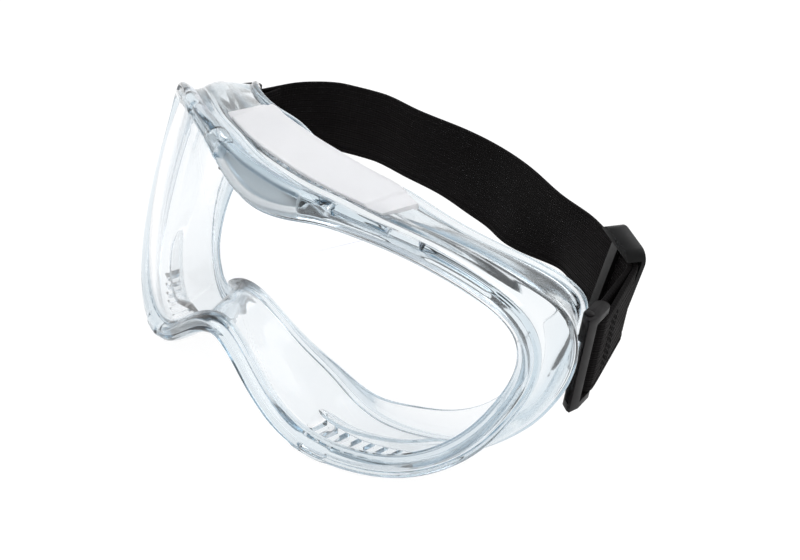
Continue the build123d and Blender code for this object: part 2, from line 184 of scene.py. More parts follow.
def make_object(name, points, faces, uv=None, sharp=38.0):
    """A smooth-shaded mesh object from goggle-frame points."""
    mesh = bpy.data.meshes.new(name)
    mesh.from_pydata([tuple(p) for p in place(points)], [], faces)
    if uv is not None:
        layer = mesh.uv_layers.new(name="along_across")
        loops = np.zeros(len(mesh.loops), int)
        mesh.loops.foreach_get("vertex_index", loops)
        layer.data.foreach_set("uv", np.asarray(uv, float)[loops].ravel())
    obj = bpy.data.objects.new(name, mesh)
    bpy.context.scene.collection.objects.link(obj)
    finish_mesh(obj, sharp)
    return obj


def finish_mesh(obj, sharp=38.0):
    """Outward normals, smooth faces, and hard edges only where the shape turns sharply."""
    work = bmesh.new()
    work.from_mesh(obj.data)
    bmesh.ops.recalc_face_normals(work, faces=work.faces)
    for face in work.faces:
        face.smooth = True
    for edge in work.edges:
        edge.smooth = len(edge.link_faces) != 2 or edge.calc_face_angle() < math.radians(sharp)
    work.to_mesh(obj.data)
    work.free()


def grid_faces(rows, columns, close_rows, close_columns, caps=False):
    """Quads of a grid of points, and its end faces."""
    faces = []
    for i in range(rows if close_rows else rows - 1):
        for j in range(columns if close_columns else columns - 1):
            i2, j2 = (i + 1) % rows, (j + 1) % columns
            faces.append((i * columns + j, i * columns + j2, i2 * columns + j2, i2 * columns + j))
    if caps:
        faces.append(tuple(range(columns)))
        faces.append(tuple((rows - 1) * columns + j for j in reversed(range(columns))))
    return faces


# how far an arc and its support point reach along a side, in radii and as a share of the side
ARC_REACH = (1.0, 0.4)
SUPPORT_REACH = (1.3, 0.46)


def rounded(corners, radii, steps=3):
    """Closed sections (row, corner, 2) with every corner rounded and held by a support point."""
    radii = np.broadcast_to(np.asarray(radii, float), corners.shape[1:2])[None, :, None]

    def toward(other, share, limit):
        gap = other - corners
        length = np.maximum(np.linalg.norm(gap, axis=2, keepdims=True), 1e-9)
        return corners + gap / length * np.minimum(radii * share, limit * length)

    before, after = np.roll(corners, 1, axis=1), np.roll(corners, -1, axis=1)
    start, end = toward(before, *ARC_REACH), toward(after, *ARC_REACH)
    ring = [toward(before, *SUPPORT_REACH)]
    for t in np.linspace(0, 1, steps + 1):
        ring.append((1 - t) ** 2 * start + 2 * t * (1 - t) * corners + t * t * end)
    ring.append(toward(after, *SUPPORT_REACH))
    out = np.stack(ring, axis=2)
    return out.reshape(out.shape[0], -1, 2)


def joined_shape(obj, other, operation):
    """obj with other added to it or taken from it, as a plain mesh."""
    change = obj.modifiers.new("shape", "BOOLEAN")
    change.operation = operation
    change.solver = "EXACT"
    change.object = other
    settle(obj)
    mesh = other.data
    bpy.data.objects.remove(other)
    bpy.data.meshes.remove(mesh)
    return obj


def settle(obj):
    """Turns an object's modifiers into its own mesh."""
    graph = bpy.context.evaluated_depsgraph_get()
    mesh = bpy.data.meshes.new_from_object(obj.evaluated_get(graph))
    old = obj.data
    obj.modifiers.clear()
    obj.data = mesh
    bpy.data.meshes.remove(old)
    return obj


def prism(name, outline, low, high):
    """Upright prism over a plan outline."""
    outline = np.asarray(outline, float)
    count = len(outline)
    points = [(x, y, z) for z in (low, high) for x, y in outline]
    faces = [tuple(reversed(range(count))), tuple(range(count, 2 * count))]
    faces += [(i, (i + 1) % count, count + (i + 1) % count, count + i) for i in range(count)]
    return make_object(name, points, faces)


def disc(centre, radius, count=40):
    """Plan outline of a circle."""
    turn = np.linspace(0, 2 * math.pi, count, endpoint=False)
    return np.stack([centre[0] + radius * np.cos(turn), centre[1] + radius * np.sin(turn)], axis=1)


def hull(points):
    """Convex outline round plan points, anticlockwise."""
    points = sorted(map(tuple, np.round(points, 5)))

    def chain(ordered):
        kept = []
        for p in ordered:
            while len(kept) > 1 and (
                (kept[-1][0] - kept[-2][0]) * (p[1] - kept[-2][1])
                - (kept[-1][1] - kept[-2][1]) * (p[0] - kept[-2][0])
            ) <= 0:
                kept.pop()
            kept.append(p)
        return kept[:-1]

    return chain(points) + chain(points[::-1])


def rectangle(x0, x1, y0, y1):
    """Plan outline of a rectangle."""
    return np.array([(x0, y0), (x1, y0), (x1, y1), (x0, y1)])


def soften(obj, width, segments=3, angle=30.0):
    """Rounds an object's hard edges by that many millimetres."""
    bevel = obj.modifiers.new("round", "BEVEL")
    bevel.width = width * 0.001
    bevel.segments = segments
    bevel.limit_method = "ANGLE"
    bevel.angle_limit = math.radians(angle)
    bevel.use_clamp_overlap = True
    settle(obj)
    finish_mesh(obj, 50.0)
    return obj


def mirror_mesh(obj):
    """Turns an object into its own mirror image in the goggles' middle plane."""
    obj.data.transform(Matrix.Diagonal((-1, 1, 1, 1)))
    obj.data.flip_normals()


def mirrored(obj, name):
    """A copy of obj on the other side of the goggles."""
    copy = bpy.data.objects.new(name, obj.data.copy())
    mirror_mesh(copy)
    bpy.context.scene.collection.objects.link(copy)
    return copy


# ------------ materials
# the soft edges of the frosted brow panel in metres: half its width, its low edge, its rear edge
PANEL_SIDE = (0.0165, 0.0185)
PANEL_LOW = (0.062, 0.064)
PANEL_REAR = (-0.0445, -0.0425)
PANEL_ROUGH = 0.45
# the black parts' specular level, and how much lighter their rubbed patches are
BLACK_GLOSS = 0.12
RUBBED = 1.9


def new_material(name):
    """A material with an empty Principled surface."""
    material = bpy.data.materials.new(name)
    material.use_nodes = True
    tree = material.node_tree
    return material, tree, tree.nodes["Principled BSDF"]


def add_node(tree, kind, inputs=None, **settings):
    """A node with its settings and unlinked input values."""
    node = tree.nodes.new(kind)
    for key, value in settings.items():
        setattr(node, key, value)
    for key, value in (inputs or {}).items():
        node.inputs[key].default_value = value
    return node


def object_noise(tree, scale, detail=3.0):
    """Noise in the object's own coordinates; scale is in features per metre."""
    coordinates = add_node(tree, "ShaderNodeTexCoord").outputs["Object"]
    noise = add_node(tree, "ShaderNodeTexNoise", {"Scale": scale, "Detail": detail})
    tree.links.new(coordinates, noise.inputs["Vector"])
    return noise.outputs["Fac"]


def ranged(tree, value, low, high, from_low=0.3, from_high=0.7):
    """The value carried from one range to another."""
    node = add_node(
        tree,
        "ShaderNodeMapRange",
        {"From Min": from_low, "From Max": from_high, "To Min": low, "To Max": high},
    )
    tree.links.new(value, node.inputs["Value"])
    return node.outputs["Result"]


def maths(tree, operation, *values):
    """The result of an operation on linked outputs and plain numbers."""
    node = add_node(tree, "ShaderNodeMath", operation=operation)
    for value, socket in zip(values, node.inputs):
        if isinstance(value, float):
            socket.default_value = value
        else:
            tree.links.new(value, socket)
    return node.outputs["Value"]


def tinted(tree, shader, factor, dark, light):
    """Base colour between two colours."""
    colours = {"A": (*dark, 1.0), "B": (*light, 1.0)}
    mix = add_node(tree, "ShaderNodeMix", colours, data_type="RGBA")
    tree.links.new(factor, mix.inputs["Factor"])
    tree.links.new(mix.outputs["Result"], shader.inputs["Base Color"])


def bump(tree, shader, height, strength, distance):
    """Bump from a height, in metres."""
    node = add_node(tree, "ShaderNodeBump", {"Strength": strength, "Distance": distance})
    tree.links.new(height, node.inputs["Height"])
    tree.links.new(node.outputs["Normal"], shader.inputs["Normal"])


def brow_panel(tree, rough):
    """The roughness, raised on the frosted panel in the middle of the brow."""
    split = add_node(tree, "ShaderNodeSeparateXYZ")
    tree.links.new(add_node(tree, "ShaderNodeTexCoord").outputs["Object"], split.inputs["Vector"])
    width = maths(tree, "ABSOLUTE", split.outputs["X"])
    panel = ranged(tree, width, PANEL_ROUGH, 0.0, *PANEL_SIDE)
    panel = maths(tree, "MULTIPLY", panel, ranged(tree, split.outputs["Z"], 0.0, 1.0, *PANEL_LOW))
    panel = maths(tree, "MULTIPLY", panel, ranged(tree, split.outputs["Y"], 1.0, 0.0, *PANEL_REAR))
    return maths(tree, "ADD", rough, panel)


def clear_plastic(name, ior, rough, waves, tint, density, panel=False):
    """Clear moulded plastic: polished, slightly wavy, coloured only by its thickness."""
    material, tree, shader = new_material(name)
    shader.inputs["Base Color"].default_value = (1.0, 1.0, 1.0, 1.0)
    shader.inputs["Transmission Weight"].default_value = 1.0
    shader.inputs["IOR"].default_value = ior
    polish = ranged(tree, object_noise(tree, 90.0), *rough)
    tree.links.new(brow_panel(tree, polish) if panel else polish, shader.inputs["Roughness"])
    bump(tree, shader, object_noise(tree, waves[0], 2.0), 1.0, waves[1])
    absorb = add_node(tree, "ShaderNodeVolumeAbsorption", {"Color": tint, "Density": density})
    output = tree.nodes["Material Output"]
    tree.links.new(absorb.outputs["Volume"], output.inputs["Volume"])
    return material


def frosted_plastic():
    """Frosted translucent moulding with a fine spark-eroded grain."""
    material, tree, shader = new_material("frosted_vent")
    cloudy = ranged(tree, object_noise(tree, 60.0), 0.0, 1.0)
    tinted(tree, shader, cloudy, (0.965, 0.962, 0.972), (0.995, 0.99, 0.998))
    shader.inputs["Transmission Weight"].default_value = 0.5
    shader.inputs["IOR"].default_value = 1.49
    tree.links.new(ranged(tree, object_noise(tree, 300.0), 0.42, 0.6), shader.inputs["Roughness"])
    bump(tree, shader, object_noise(tree, 2600.0, 2.0), 0.5, 0.00004)
    return material


def black_plastic(name, colour, rough, grain):
    """Moulded black plastic with a fine grain, rubbed a little smoother in places."""
    material, tree, shader = new_material(name)
    mottle = ranged(tree, object_noise(tree, 350.0), 0.0, 1.0)
    tinted(tree, shader, mottle, colour, [RUBBED * c for c in colour])
    tree.links.new(ranged(tree, object_noise(tree, 180.0), *rough), shader.inputs["Roughness"])
    bump(tree, shader, object_noise(tree, 3800.0, 3.0), 0.35, grain)
    shader.inputs["Specular IOR Level"].default_value = BLACK_GLOSS
    return material


def woven_webbing():
    """Black elastic webbing: warp ribs along it, weft lines across it, painted shade in the weave's
    sunk lines, a dull sheen.
    """
    material, tree, shader = new_material("webbing_weave")
    flow = add_node(tree, "ShaderNodeUVMap", uv_map="along_across").outputs["UV"]
    waves = []
    for direction, scale, distortion, roughness in (("X", 0.32, 0.6, 1.5), ("Y", 0.42, 0.3, 2.0)):
        wave = add_node(
            tree,
            "ShaderNodeTexWave",
            {"Scale": scale, "Distortion": distortion, "Detail": 1.0, "Detail Scale": roughness},
            wave_type="BANDS",
            bands_direction=direction,
            wave_profile="SIN",
        )
        tree.links.new(flow, wave.inputs["Vector"])
        waves.append(wave.outputs["Fac"])
    weave = maths(tree, "MULTIPLY_ADD", waves[0], 0.55, waves[1])
    cloudy = object_noise(tree, 55.0, 4.0)
    # painted shade: the base colour is darker in the weave's sunk lines and lighter on its raised
    # ribs, and the cloudy noise adds random tone
    lit_ribs_shaded_grooves = ranged(tree, weave, 0.25, 1.0, 0.3, 1.5)
    weave_shade_and_tone = maths(tree, "MULTIPLY", lit_ribs_shaded_grooves, ranged(tree, cloudy, 0.45, 1.0))
    tinted(tree, shader, weave_shade_and_tone, (0.0006, 0.0005, 0.0006), (0.0045, 0.0034, 0.0035))
    tree.links.new(ranged(tree, cloudy, 0.72, 0.9), shader.inputs["Roughness"])
    shader.inputs["Sheen Weight"].default_value = 0.02
    shader.inputs["Sheen Roughness"].default_value = 0.5
    shader.inputs["Sheen Tint"].default_value = (0.9, 0.8, 0.78, 1.0)
    shader.inputs["Specular IOR Level"].default_value = 0.1
    bump(tree, shader, weave, 0.7, 0.00016)
    return material


VINYL_TINT = (0.34, 0.53, 0.64, 1.0)
PANE_TINT = (0.6, 0.66, 0.85, 1.0)
VINYL = clear_plastic("clear_vinyl", 1.46, (0.05, 0.1), (70.0, 0.00008), VINYL_TINT, 80.0, True)
PANE = clear_plastic("clear_pane", 1.5, (0.0, 0.012), (25.0, 0.00003), PANE_TINT, 12.0)
FROSTED = frosted_plastic()
WEBBING = woven_webbing()
CLIP_BLACK = black_plastic("clip_black", (0.004, 0.0034, 0.0036), (0.28, 0.42), 0.00002)
SLIDER_BLACK = black_plastic("slider_black", (0.003, 0.003, 0.003), (0.25, 0.38), 0.00002)
THREAD = black_plastic("thread_black", (0.003, 0.003, 0.003), (0.6, 0.8), 0.00006)


def dress(obj, material, slot, body, *nodes):
    """Gives a piece its material and its body, and hides the CAD nodes that it stands for; the slot
    is not used.
    """
    obj.data.materials.clear()
    obj.data.materials.append(material)
    if body:
        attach(obj, body)
    if nodes:
        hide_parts(*nodes)
    return obj


# ------------ the lens's edge
def dish(x, z):
    """Depth of the lens's outer face behind its apex."""
    ring = LENS_R - (LENS_RV - np.sqrt(LENS_RV**2 - (z - LENS_WAIST) ** 2))
    return LENS_R - np.sqrt(ring**2 - x**2)


def lens_inward(x, z):
    """Unit normal of the lens's outer face, pointing to the wearer."""
    e = 0.01
    fall_x = (dish(x + e, z) - dish(x - e, z)) / (2 * e)
    fall_z = (dish(x, z + e) - dish(x, z - e)) / (2 * e)
    normal = np.stack([-fall_x, np.ones_like(fall_x), -fall_z], axis=-1)
    return normal / np.linalg.norm(normal, axis=-1, keepdims=True)


loop_rows = np.vstack([STATIONS, STATIONS[-2:0:-1] * (-1, 1, 1, 1, 1, 1, 1, 1)])
loop_knots = chord(np.vstack([loop_rows, loop_rows[:1]])[:, :2])
TAB_EASE = 1.6
# the block over each tab: how far it reaches past the tab, and its soft end
BLOCK_PAST, BLOCK_EASE = 1.0, 1.8
# the shoulder's swelling beside the clip: its stations, how far it runs past the second one,
# its soft end, and how much it adds to the offset, to the depth and to the hollow behind it
SWELL_STATIONS = (7, 11)
SWELL_PAST, SWELL_EASE = 4.0, 16.0
SWELL_OUT, SWELL_DEPTH, SWELL_HOLLOW = 1.0, 1.6, 1.6


class Rim:
    """Everything that varies round the rim, sampled at running lengths along the lens's edge."""

    def __init__(self, runs):
        fields = cubic(loop_knots, loop_rows, runs)
        self.x, self.z, self.rim, self.out, self.depth, self.flange, self.back, self.lip = fields.T
        near, far = (
            cubic(loop_knots, loop_rows[:, :2], (runs + shift) % loop_knots[-1])
            for shift in (-0.05, 0.05)
        )
        along = (far - near) / np.linalg.norm(far - near, axis=1, keepdims=True)
        self.out_x, self.out_z = -along[:, 1], along[:, 0]
        self.y = dish(self.x, self.z)
        outer = dish(self.x + self.out_x, self.z + self.out_z)
        inner = dish(self.x - self.out_x, self.z - self.out_z)
        self.slope = np.arctan2(outer - inner, 2)
        self.half_run = np.minimum(runs, loop_knots[-1] - runs)
        spots = loop_knots[list(TAB_STATIONS)]
        half = TAB_WIDTH / 2
        block = half + BLOCK_PAST
        run = self.half_run
        self.tab = sum(between(run, s - half, s + half, TAB_EASE) for s in spots)
        self.tab_block = sum(between(run, s - block, s + block, BLOCK_EASE) for s in spots)
        first, last = loop_knots[list(SWELL_STATIONS)]
        swell = between(run, first, last + SWELL_PAST, SWELL_EASE)
        self.out = self.out + SWELL_OUT * swell
        self.depth = self.depth + SWELL_DEPTH * swell
        self.hollow = SWELL_HOLLOW * swell

    def on_lens(self, along, proud):
        """Section point from its run along the lens and its height off it."""
        along, proud = along + 0 * self.slope, proud + 0 * self.slope
        c, s = np.cos(self.slope), np.sin(self.slope)
        return np.stack([along * c + proud * s, along * s - proud * c], axis=-1)

    def section(self, out, depth):
        """Section point from its offset and depth."""
        return np.stack([out + 0 * self.slope, depth + 0 * self.slope], axis=-1)

    def to_space(self, sections):
        """Section points (row, point, 2) as goggle points."""
        out, depth = sections[..., 0], sections[..., 1]
        return np.stack(
            [
                self.x[:, None] + self.out_x[:, None] * out,
                self.y[:, None] + depth,
                self.z[:, None] + self.out_z[:, None] * out,
            ],
            axis=-1,
        )


# ------------ lens
LENS_RINGS = 40
LENS_RUNS = 480
LENS_CENTRE = (0.0, 14.0)


def build_lens():
    """The toric pane, with its locking tabs, cut to the edge that sits in the groove."""
    rim = Rim(np.linspace(0, loop_knots[-1], LENS_RUNS, endpoint=False))
    grow = (LENS_LIP + TAB_REACH * rim.tab) * np.cos(rim.slope)
    edge = np.stack([rim.x + rim.out_x * grow, rim.z + rim.out_z * grow], axis=1)
    centre = np.array(LENS_CENTRE)
    shares = np.linspace(0, 1, LENS_RINGS + 1)[1:]
    flat = centre + (edge - centre)[None] * shares[:, None, None]
    flat = np.vstack([centre[None], flat.reshape(-1, 2)])
    x, z = flat.T
    outer = np.stack([x, dish(x, z), z], axis=1)
    inner = outer + lens_inward(x, z) * LENS_THICK
    size = len(flat)

    def ring_point(ring, i):
        return 1 + ring * LENS_RUNS + i % LENS_RUNS

    faces = []
    for base in (0, size):
        for i in range(LENS_RUNS):
            faces.append((base, base + ring_point(0, i), base + ring_point(0, i + 1)))
        for ring in range(LENS_RINGS - 1):
            for i in range(LENS_RUNS):
                corners = ((ring, i), (ring, i + 1), (ring + 1, i + 1), (ring + 1, i))
                faces.append(tuple(base + ring_point(*c) for c in corners))
    last = LENS_RINGS - 1
    for i in range(LENS_RUNS):
        a, b = ring_point(last, i), ring_point(last, i + 1)
        faces.append((a, b, size + b, size + a))
    obj = make_object("lens_pane", np.vstack([outer, inner]), faces)
    return dress(obj, PANE, "lens_clear", "goggles", "lens")


# ------------ frame body and face flange
FRAME_RUNS = 520
# runs from the middle of the brow: the window in it, the notch beside it, the long bar and the
# grooved stretch
WINDOW_HALF = 17.6
NOTCH = (18.0, 19.0)
LONG_BAR = (26.5, 43.5)
GROOVED = (53.0, 68.0)
# how far the rim stands off the lens, what its features change in that, and how deep its face dips
RIM_PROUD = 2.3
BLOCK_RISE, BAR_RISE, GROOVED_RISE, NOTCH_FALL = 0.45, 0.15, 0.2, 0.5
WINDOW_DIP, BAR_DIP, GROOVED_DIP = 1.5, 0.25, 0.9
GROOVE_PLAY = 0.08
FACE_PLAY = 0.04
# width, length, pitch, count, depth behind the lens, and the cut's lowest and highest point
TOP_SLOTS = (2.2, 5.0, 4.4, 11, 22.5, 30.0, 55.0)
LOW_SLOTS = (1.6, 7.0, 3.6, 8, 10.5, -40.0, -15.0)
LOW_SLOT_START = 30.0


def slot_cutter(x, y, low, high, width, length):
    """Upright cutter with round ends, long in y."""
    turn = np.linspace(0, math.pi, 9)
    r = width / 2
    reach = length / 2 - r
    front = np.stack([x - r * np.cos(turn), y - reach - r * np.sin(turn)], axis=1)
    rear = np.stack([x + r * np.cos(turn), y + reach + r * np.sin(turn)], axis=1)
    return prism("cutter", np.vstack([front, rear]), low, high)


def merged(objects, name):
    """Several mesh objects as one."""
    work = bmesh.new()
    for obj in objects:
        work.from_mesh(obj.data)
    mesh = bpy.data.meshes.new(name)
    work.to_mesh(mesh)
    work.free()
    for obj in objects:
        bpy.data.objects.remove(obj)
    result = bpy.data.objects.new(name, mesh)
    bpy.context.scene.collection.objects.link(result)
    return result


def vent_cutters():
    """Cutters for the row of slots in the roof and the rows in the floor."""
    cutters = []
    width, length, pitch, count, depth, low, high = TOP_SLOTS
    for index in range(count):
        x = (index - (count - 1) / 2) * pitch
        y = depth + float(dish(x, LENS_WAIST))
        cutters.append(slot_cutter(x, y, low, high, width, length))
    width, length, pitch, count, depth, low, high = LOW_SLOTS
    for index in range(count):
        for side in (1, -1):
            x = side * (LOW_SLOT_START + index * pitch)
            y = depth + float(dish(x, LENS_WAIST))
            cutters.append(slot_cutter(x, y, low, high, width, length))
    return cutters


def build_frame():
    """Rim, wall, shoulder and face flange as the one soft moulding that they are."""
    rim = Rim(np.linspace(0, loop_knots[-1], FRAME_RUNS, endpoint=False))
    s = rim.half_run
    window = 1 - step_up(s, WINDOW_HALF, 0.9)
    long_bar = between(s, *LONG_BAR)
    grooved = between(s, *GROOVED)
    notch = between(s, *NOTCH, 0.6)
    proud = RIM_PROUD + BLOCK_RISE * rim.tab_block + BAR_RISE * long_bar
    proud += GROOVED_RISE * grooved - NOTCH_FALL * notch
    dip = WINDOW_DIP * window + BAR_DIP * long_bar + GROOVED_DIP * grooved
    front, rear = rim.on_lens(rim.rim, -3.6), rim.section(rim.out, rim.depth)
    run = rear - front
    run = run / np.linalg.norm(run, axis=1, keepdims=True)
    inward = np.stack([-run[:, 1], run[:, 0]], axis=1)
    groove = LENS_LIP + GROOVE_PLAY + TAB_REACH * rim.tab
    inset = 1.7 + 0.6 * window
    middle = rim.section(
        (rim.out + rim.flange) * 0.5 - 0.3 - rim.hollow, (rim.depth + rim.back) * 0.5
    )
    # each corner of the section has its radius beside it
    rim_face = [
        (rim.on_lens(-0.6, 0.02), 0.15),
        (rim.on_lens(0.1, proud - 0.7), 0.7),
        (rim.on_lens(1.1, proud), 0.6),
        (rim.on_lens(inset, proud - dip), 0.35),
        (rim.on_lens(rim.rim - inset - 0.5, proud - dip), 0.35),
        (rim.on_lens(rim.rim - 1.3, proud), 0.6),
        (rim.on_lens(rim.rim - 0.1, proud - 1.2), 0.9),
        (rim.on_lens(rim.rim - 0.05, -1.7), 0.6),
        (rim.on_lens(rim.rim - 0.9, -2.6), 0.4),
    ]
    wall_outside = [
        (front + run * 2.2 + inward * 0.5, 0.8),
        (front + (rear - front) * 0.55 - inward * 0.1, 3.0),
        (rear, 1.0),
        (middle, 4.0),
    ]
    face_lip = [
        (rim.section(rim.flange - 0.4, rim.back - 2.0), 0.5),
        (rim.section(rim.flange + 0.5, rim.back - 1.2), 0.7),
        (rim.section(rim.flange + 0.4, rim.back + 0.5), 0.8),
        (rim.section(rim.flange - 0.9, rim.back + 0.9), 0.7),
        (rim.section(rim.flange - rim.lip, rim.back - 2.2), 0.5),
        (rim.section(rim.flange - rim.lip, rim.back - 3.2), 0.4),
        (rim.section(rim.flange - 2.8, rim.back - 1.9), 1.4),
    ]
    wall_inside = [
        (rear + inward * WALL, 1.2),
        (front + inward * WALL + (rear - front) * 0.3, 2.0),
        (rim.on_lens(0.4, -4.4), 0.6),
        (rim.on_lens(-1.5, -3.5), 0.5),
    ]
    lens_groove = [
        (rim.on_lens(-1.5, -LENS_THICK - FACE_PLAY), 0.12),
        (rim.on_lens(groove, -LENS_THICK - FACE_PLAY), 0.1),
        (rim.on_lens(groove, FACE_PLAY), 0.1),
    ]
    corners = rim_face + wall_outside + face_lip + wall_inside + lens_groove
    sections = rounded(np.stack([c[0] for c in corners], axis=1), [c[1] for c in corners])
    points = rim.to_space(sections)
    rows, columns = points.shape[:2]
    faces = grid_faces(rows, columns, True, True)
    obj = make_object("frame_moulding", points.reshape(-1, 3), faces)
    joined_shape(obj, merged(vent_cutters(), "slots"), "DIFFERENCE")
    finish_mesh(obj)
    return dress(obj, VINYL, "frame_clear", "goggles", "frame_body", "face_flange")


LUG_LOW, LUG_HIGH, LUG_R = 4.0, 14.0, 1.4
LUG_ROOT = (75.0, 75.6, PIN_AXIS[1] - 1.6, PIN_AXIS[1] + 1.0)
PIN_PLAY = 0.05


def build_lug():
    """The side lug that carries the clip's pin, with a bore for it."""
    outline = hull(np.vstack([disc(PIN_AXIS, LUG_R), rectangle(*LUG_ROOT)]))
    lug = prism("side_lug_left", outline, LUG_LOW, LUG_HIGH)
    bore = prism("bore", disc(PIN_AXIS, PIN_R + PIN_PLAY, 32), LUG_LOW - 1, LUG_HIGH + 1)
    joined_shape(lug, bore, "DIFFERENCE")
    soften(lug, 0.35)
    other = mirrored(lug, "side_lug_right")
    for piece in (lug, other):
        dress(piece, VINYL, "frame_clear", "goggles")


# ------------ top vent cover
# half width, y and z of the front foot, y and z of the rear top edge
COVER_ROWS = np.array((
    (0.0, 17.4, 45.0, 29.6, 49.2),
    (10.0, 17.9, 44.9, 30.6, 48.7),
    (20.0, 19.6, 44.6, 33.4, 47.2),
    (28.8, 22.2, 44.2, 37.2, 44.9),
    (33.4, 24.4, 43.6, 38.2, 43.0),
))
COVER_HALF = COVER_ROWS[-1, 0]
COVER_THICK = 1.4
COVER_LIP = 2.0
COVER_CROWN = 0.5
COVER_RUNS = 220
# how far the cover's ends step down, where, and the step's soft length
COVER_STEP = (0.7, 29.0, 0.8)


def build_cover():
    """The frosted channel over the top vents, with a stepped end at each side."""
    across = np.linspace(-COVER_HALF, COVER_HALF, COVER_RUNS)
    half = np.abs(across)
    slopes = ((0, 0, 0, 0), (COVER_ROWS[-1, 1:] - COVER_ROWS[-2, 1:]) / 4.0)
    foot_y, foot_z, top_y, top_z = cubic(COVER_ROWS[:, 0], COVER_ROWS[:, 1:], half, slopes).T
    drop = COVER_STEP[0] * step_up(half, *COVER_STEP[1:])
    crown = COVER_CROWN * (1 - (half / COVER_HALF) ** 2)

    def at(y, z):
        return np.stack([y, z], axis=-1)

    mid_y, mid_z = (foot_y + top_y) / 2, (foot_z + top_z) / 2
    corners = [
        (at(foot_y, foot_z - drop), 0.5),
        (at(mid_y, mid_z + crown - drop), 4.0),
        (at(top_y, top_z - drop), 0.6),
        (at(top_y + 0.3, top_z - COVER_LIP - drop), 0.3),
        (at(top_y - 1.0, top_z - COVER_LIP - drop), 0.3),
        (at(top_y - 1.3, top_z - COVER_THICK - drop), 0.5),
        (at(mid_y, mid_z + crown - COVER_THICK - drop), 4.0),
        (at(foot_y + 0.6, foot_z - COVER_THICK - drop), 0.3),
    ]
    sections = rounded(np.stack([c[0] for c in corners], axis=1), [c[1] for c in corners])
    x = across[:, None] + 0 * sections[..., 0]
    points = np.stack([x, sections[..., 0], sections[..., 1]], axis=-1)
    rows, columns = points.shape[:2]
    faces = grid_faces(rows, columns, False, True, True)
    obj = make_object("vent_cover", points.reshape(-1, 3), faces)
    return dress(obj, FROSTED, "vent_frosted", "goggles", "top_vent_cover")


# ------------ lower vent baffles
BAFFLE_STATIONS = (12, 16)
BAFFLE_RUNS = 120
BAFFLE_END = 7.0
# offset from the wall, depth and radius of each corner of the rib's section
BAFFLE_CORNERS = (
    (0.0, 13.0, 0.3),
    (-3.6, 11.6, 1.2),
    (-5.2, 7.4, 0.35),
    (-6.1, 7.8, 0.35),
    (-4.4, 12.4, 1.4),
    (-0.2, 14.0, 0.3),
)


def build_baffles():
    """Thin rounded ribs inside the floor, behind the lower vents, ending in a soft point."""
    runs = np.linspace(*loop_knots[list(BAFFLE_STATIONS)], BAFFLE_RUNS)
    rim = Rim(runs)
    foot = rim.out - WALL - 0.1
    ends = np.minimum(runs - runs[0], runs[-1] - runs)
    share = np.clip(ends / BAFFLE_END, 0, 1)
    keep = np.sqrt(np.clip(1 - (1 - share) ** 2, 0.004, 1))
    corners = [rim.section(foot + out, depth) for out, depth, _ in BAFFLE_CORNERS]
    corners = np.stack(corners, axis=1)
    anchor = corners[:, :1]
    corners = anchor + (corners - anchor) * keep[:, None, None]
    sections = rounded(corners, [radius for _, _, radius in BAFFLE_CORNERS])
    points = rim.to_space(sections)
    rows, columns = points.shape[:2]
    faces = grid_faces(rows, columns, False, True, True)
    left = make_object("vent_baffle_left", points.reshape(-1, 3), faces)
    right = mirrored(left, "vent_baffle_right")
    for piece, side in ((left, "left"), (right, "right")):
        dress(piece, VINYL, "frame_clear", "goggles", "lower_vent_baffle_" + side)


# ------------ strap
SIDE_NAMES = ((1, "left"), (-1, "right"))
corner = np.array(STRAP_CORNER)
bar_axis = np.array(BAR_AXIS)
straight_dir = (corner - STRAP_BACK[-1]) / np.linalg.norm(corner - STRAP_BACK[-1])
straight_out = np.array([-straight_dir[1], straight_dir[0]])
slider_spot = corner - straight_dir * SLIDER_SETBACK


def turn_plan(vector, angle):
    """A plan vector turned anticlockwise."""
    c, s = math.cos(angle), math.sin(angle)
    return np.array([c * vector[0] - s * vector[1], s * vector[0] + c * vector[1]])


def run_to_bar(start, side):
    """Unit run from a point to one side of the circle that the ply makes round the clip's bar."""
    reach = bar_axis - start
    length = np.linalg.norm(reach)
    return turn_plan(reach / length, side * math.asin(PLY_STEP / length))


side_dir = run_to_bar(corner, 1)
side_out = np.array([-side_dir[1], side_dir[0]])
band_end = bar_axis + side_out * PLY_STEP
half_turn = math.acos(straight_dir @ side_dir) / 2
inner_corner = corner - (straight_out + straight_dir * math.tan(half_turn)) * PLY_STEP_SLIDER
# x of the strap's middle line and how far its lower edge lies behind the upper one there
STRAP_TWIST = (
    (-40.0, 0.0), (-22.0, -1.2), (-4.0, -4.8), (6.5, -5.4), (17.8, -5.8), (24.9, -2.6),
    (34.5, 2.4), (41.0, 1.3), (45.5, 0.1), (50.0, 0.0), (60.0, 0.0),
)
SEAM_BACK = 7.0
FOLD_STEPS = 18


def filleted(start, middle, end, radius, step=0.5):
    """Two straight runs joined by an arc."""
    arrive = (middle - start) / np.linalg.norm(middle - start)
    leave = (end - middle) / np.linalg.norm(end - middle)
    turn = math.acos(arrive @ leave)
    side = math.copysign(1.0, arrive[0] * leave[1] - arrive[1] * leave[0])
    reach = radius * math.tan(turn / 2)
    spoke = -radius * side * np.array([-arrive[1], arrive[0]])
    centre = middle - arrive * reach - spoke
    arc = np.array([centre + turn_plan(spoke, side * a) for a in np.linspace(0, turn, 14)])

    def run(a, b):
        return np.linspace(a, b, max(3, int(np.linalg.norm(b - a) / step)))

    return np.vstack([run(start, arc[0])[:-1], arc, run(arc[-1], end)[1:]])


def strap_level(points, side):
    """Height of the strap's centre line over plan points, with its changes of slope rounded."""
    spread = np.linspace(-2.5, 2.5, 11)
    knots, levels = STRAP_DROP[side]
    return np.mean([np.interp(points[:, 1] + d, knots, levels) for d in spread], axis=0)


def turned(path):
    """Unit plan normals of a path, to the left of its run."""
    run = np.gradient(path, axis=0)
    run = run / np.linalg.norm(run, axis=1, keepdims=True)
    return np.stack([-run[:, 1], run[:, 0]], axis=1)


